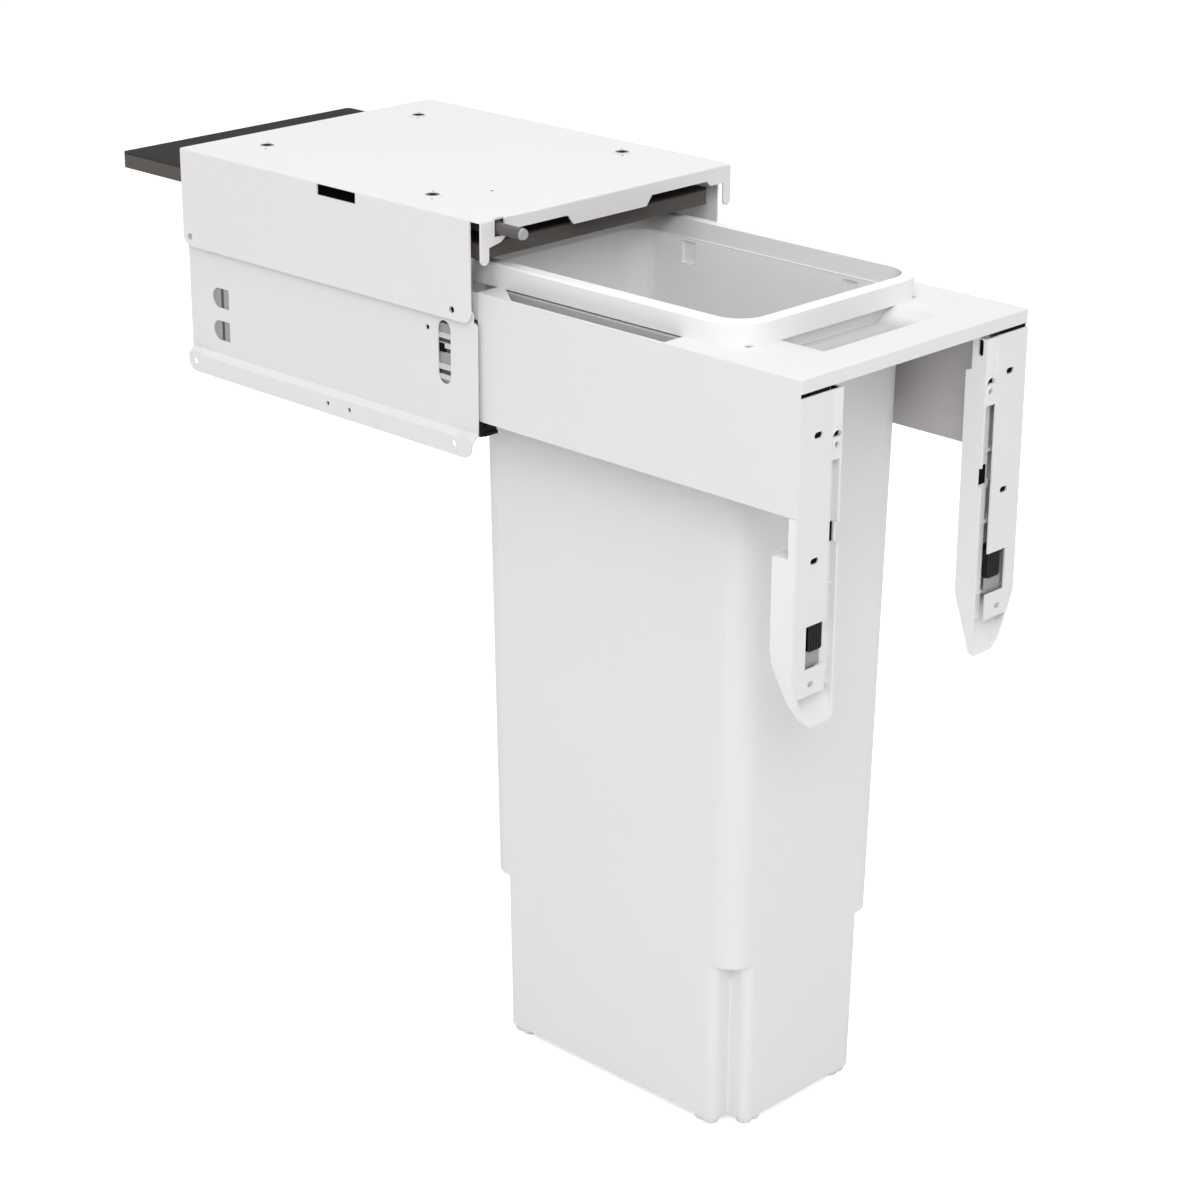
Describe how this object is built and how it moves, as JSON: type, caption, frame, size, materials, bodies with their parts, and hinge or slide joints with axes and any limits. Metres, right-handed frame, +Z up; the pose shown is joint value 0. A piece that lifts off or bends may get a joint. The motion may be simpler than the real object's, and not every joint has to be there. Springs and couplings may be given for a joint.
{
  "type": "pull-out waste cabinet insert",
  "caption": "Slim under-counter pull-out waste unit: folded steel top frame, telescopic runners, white steel tray with door brackets, tall tapered bucket and floating lid.",
  "frame": {"origin": "midpoint between the two front fixing holes in the roof, level with the tops of their bosses", "axes": "+X to the right seen from the front, +Y towards the cabinet's back, +Z up; the tray is stored drawn out towards -Y"},
  "size_m": [0.264, 0.717, 0.6751],
  "materials": {
    "painted_sheet": "satin light grey-white powder coat on folded steel sheet",
    "zinc_steel": "zinc-plated steel, satin",
    "spring_steel": "drawn spring wire, satin",
    "ball_steel": "polished hardened steel",
    "cage_plastic": "moulded dark plastic, matt",
    "bucket_plastic": "moulded white plastic, fine satin",
    "arm_plastic": "moulded white plastic, satin",
    "black_plastic": "moulded black plastic, satin",
    "lid_plastic": "moulded anthracite plastic, matt",
    "plunger_plastic": "moulded dark grey plastic, satin",
    "tip_rubber": "soft grey rubber"
  },
  "bodies": {
    "frame": {"top_frame": "painted_sheet", "left_side_panel": "painted_sheet", "right_side_panel": "painted_sheet", "left_runner_bracket": "zinc_steel", "right_runner_bracket": "zinc_steel", "left_runner_cap": "black_plastic", "right_runner_cap": "black_plastic", "left_fixed_rail": "zinc_steel", "right_fixed_rail": "zinc_steel", "lid_guide_pins": "zinc_steel", "damper_sleeve": "cage_plastic", "damper_clip": "zinc_steel", "lid_springs": "spring_steel"},
    "tray": {"tray": "painted_sheet", "left_rail_cover": "painted_sheet", "right_rail_cover": "painted_sheet", "rear_yoke": "painted_sheet", "left_tray_rail": "zinc_steel", "right_tray_rail": "zinc_steel", "left_door_bracket": "painted_sheet", "right_door_bracket": "painted_sheet", "left_bracket_arm": "arm_plastic", "right_bracket_arm": "arm_plastic", "left_adjuster": "black_plastic", "right_adjuster": "black_plastic", "bracket_screws": "zinc_steel", "bucket": "bucket_plastic"},
    "lid": {"lid": "lid_plastic"},
    "damper": {"damper_plunger": "plunger_plastic", "damper_tip": "tip_rubber"},
    "left_middle": {"left_middle_rail": "zinc_steel"},
    "left_outer_balls": {"left_outer_cage": "cage_plastic", "left_outer_balls": "ball_steel"},
    "left_inner_balls": {"left_inner_cage": "cage_plastic", "left_inner_balls": "ball_steel"},
    "right_middle": {"right_middle_rail": "zinc_steel"},
    "right_outer_balls": {"right_outer_cage": "cage_plastic", "right_outer_balls": "ball_steel"},
    "right_inner_balls": {"right_inner_cage": "cage_plastic", "right_inner_balls": "ball_steel"}
  },
  "joints": [
    {"name": "tray_slide", "type": "slide", "parent": "frame", "child": "tray", "axis": [0, 1, 0], "range_m": [0, 0.2905]},
    {"name": "left_middle_rail_slide", "type": "slide", "parent": "frame", "child": "left_middle", "axis": [0, 1, 0], "range_m": [0, 0.14525]},
    {"name": "left_outer_cage_slide", "type": "slide", "parent": "frame", "child": "left_outer_balls", "axis": [0, 1, 0], "range_m": [0, 0.07262]},
    {"name": "left_inner_cage_slide", "type": "slide", "parent": "frame", "child": "left_inner_balls", "axis": [0, 1, 0], "range_m": [0, 0.21788]},
    {"name": "right_middle_rail_slide", "type": "slide", "parent": "frame", "child": "right_middle", "axis": [0, 1, 0], "range_m": [0, 0.14525]},
    {"name": "right_outer_cage_slide", "type": "slide", "parent": "frame", "child": "right_outer_balls", "axis": [0, 1, 0], "range_m": [0, 0.07262]},
    {"name": "right_inner_cage_slide", "type": "slide", "parent": "frame", "child": "right_inner_balls", "axis": [0, 1, 0], "range_m": [0, 0.21788]},
    {"name": "lid_float", "type": "slide", "parent": "frame", "child": "lid", "axis": [0, 0, 1], "range_m": [-0.006, 0], "stiffness_N_per_m": 1500, "springref_m": 0.01, "deforming": ["lid_springs"]},
    {"name": "damper_press", "type": "slide", "parent": "frame", "child": "damper", "axis": [0, 1, 0], "range_m": [0, 0.024], "stiffness_N_per_m": 300, "springref_m": -0.005}
  ],
  "couplings": [
    {"joint": "left_middle_rail_slide", "follows": "tray_slide", "ratio": 0.5},
    {"joint": "left_outer_cage_slide", "follows": "tray_slide", "ratio": 0.25},
    {"joint": "left_inner_cage_slide", "follows": "tray_slide", "ratio": 0.75},
    {"joint": "right_middle_rail_slide", "follows": "tray_slide", "ratio": 0.5},
    {"joint": "right_outer_cage_slide", "follows": "tray_slide", "ratio": 0.25},
    {"joint": "right_inner_cage_slide", "follows": "tray_slide", "ratio": 0.75}
  ]
}
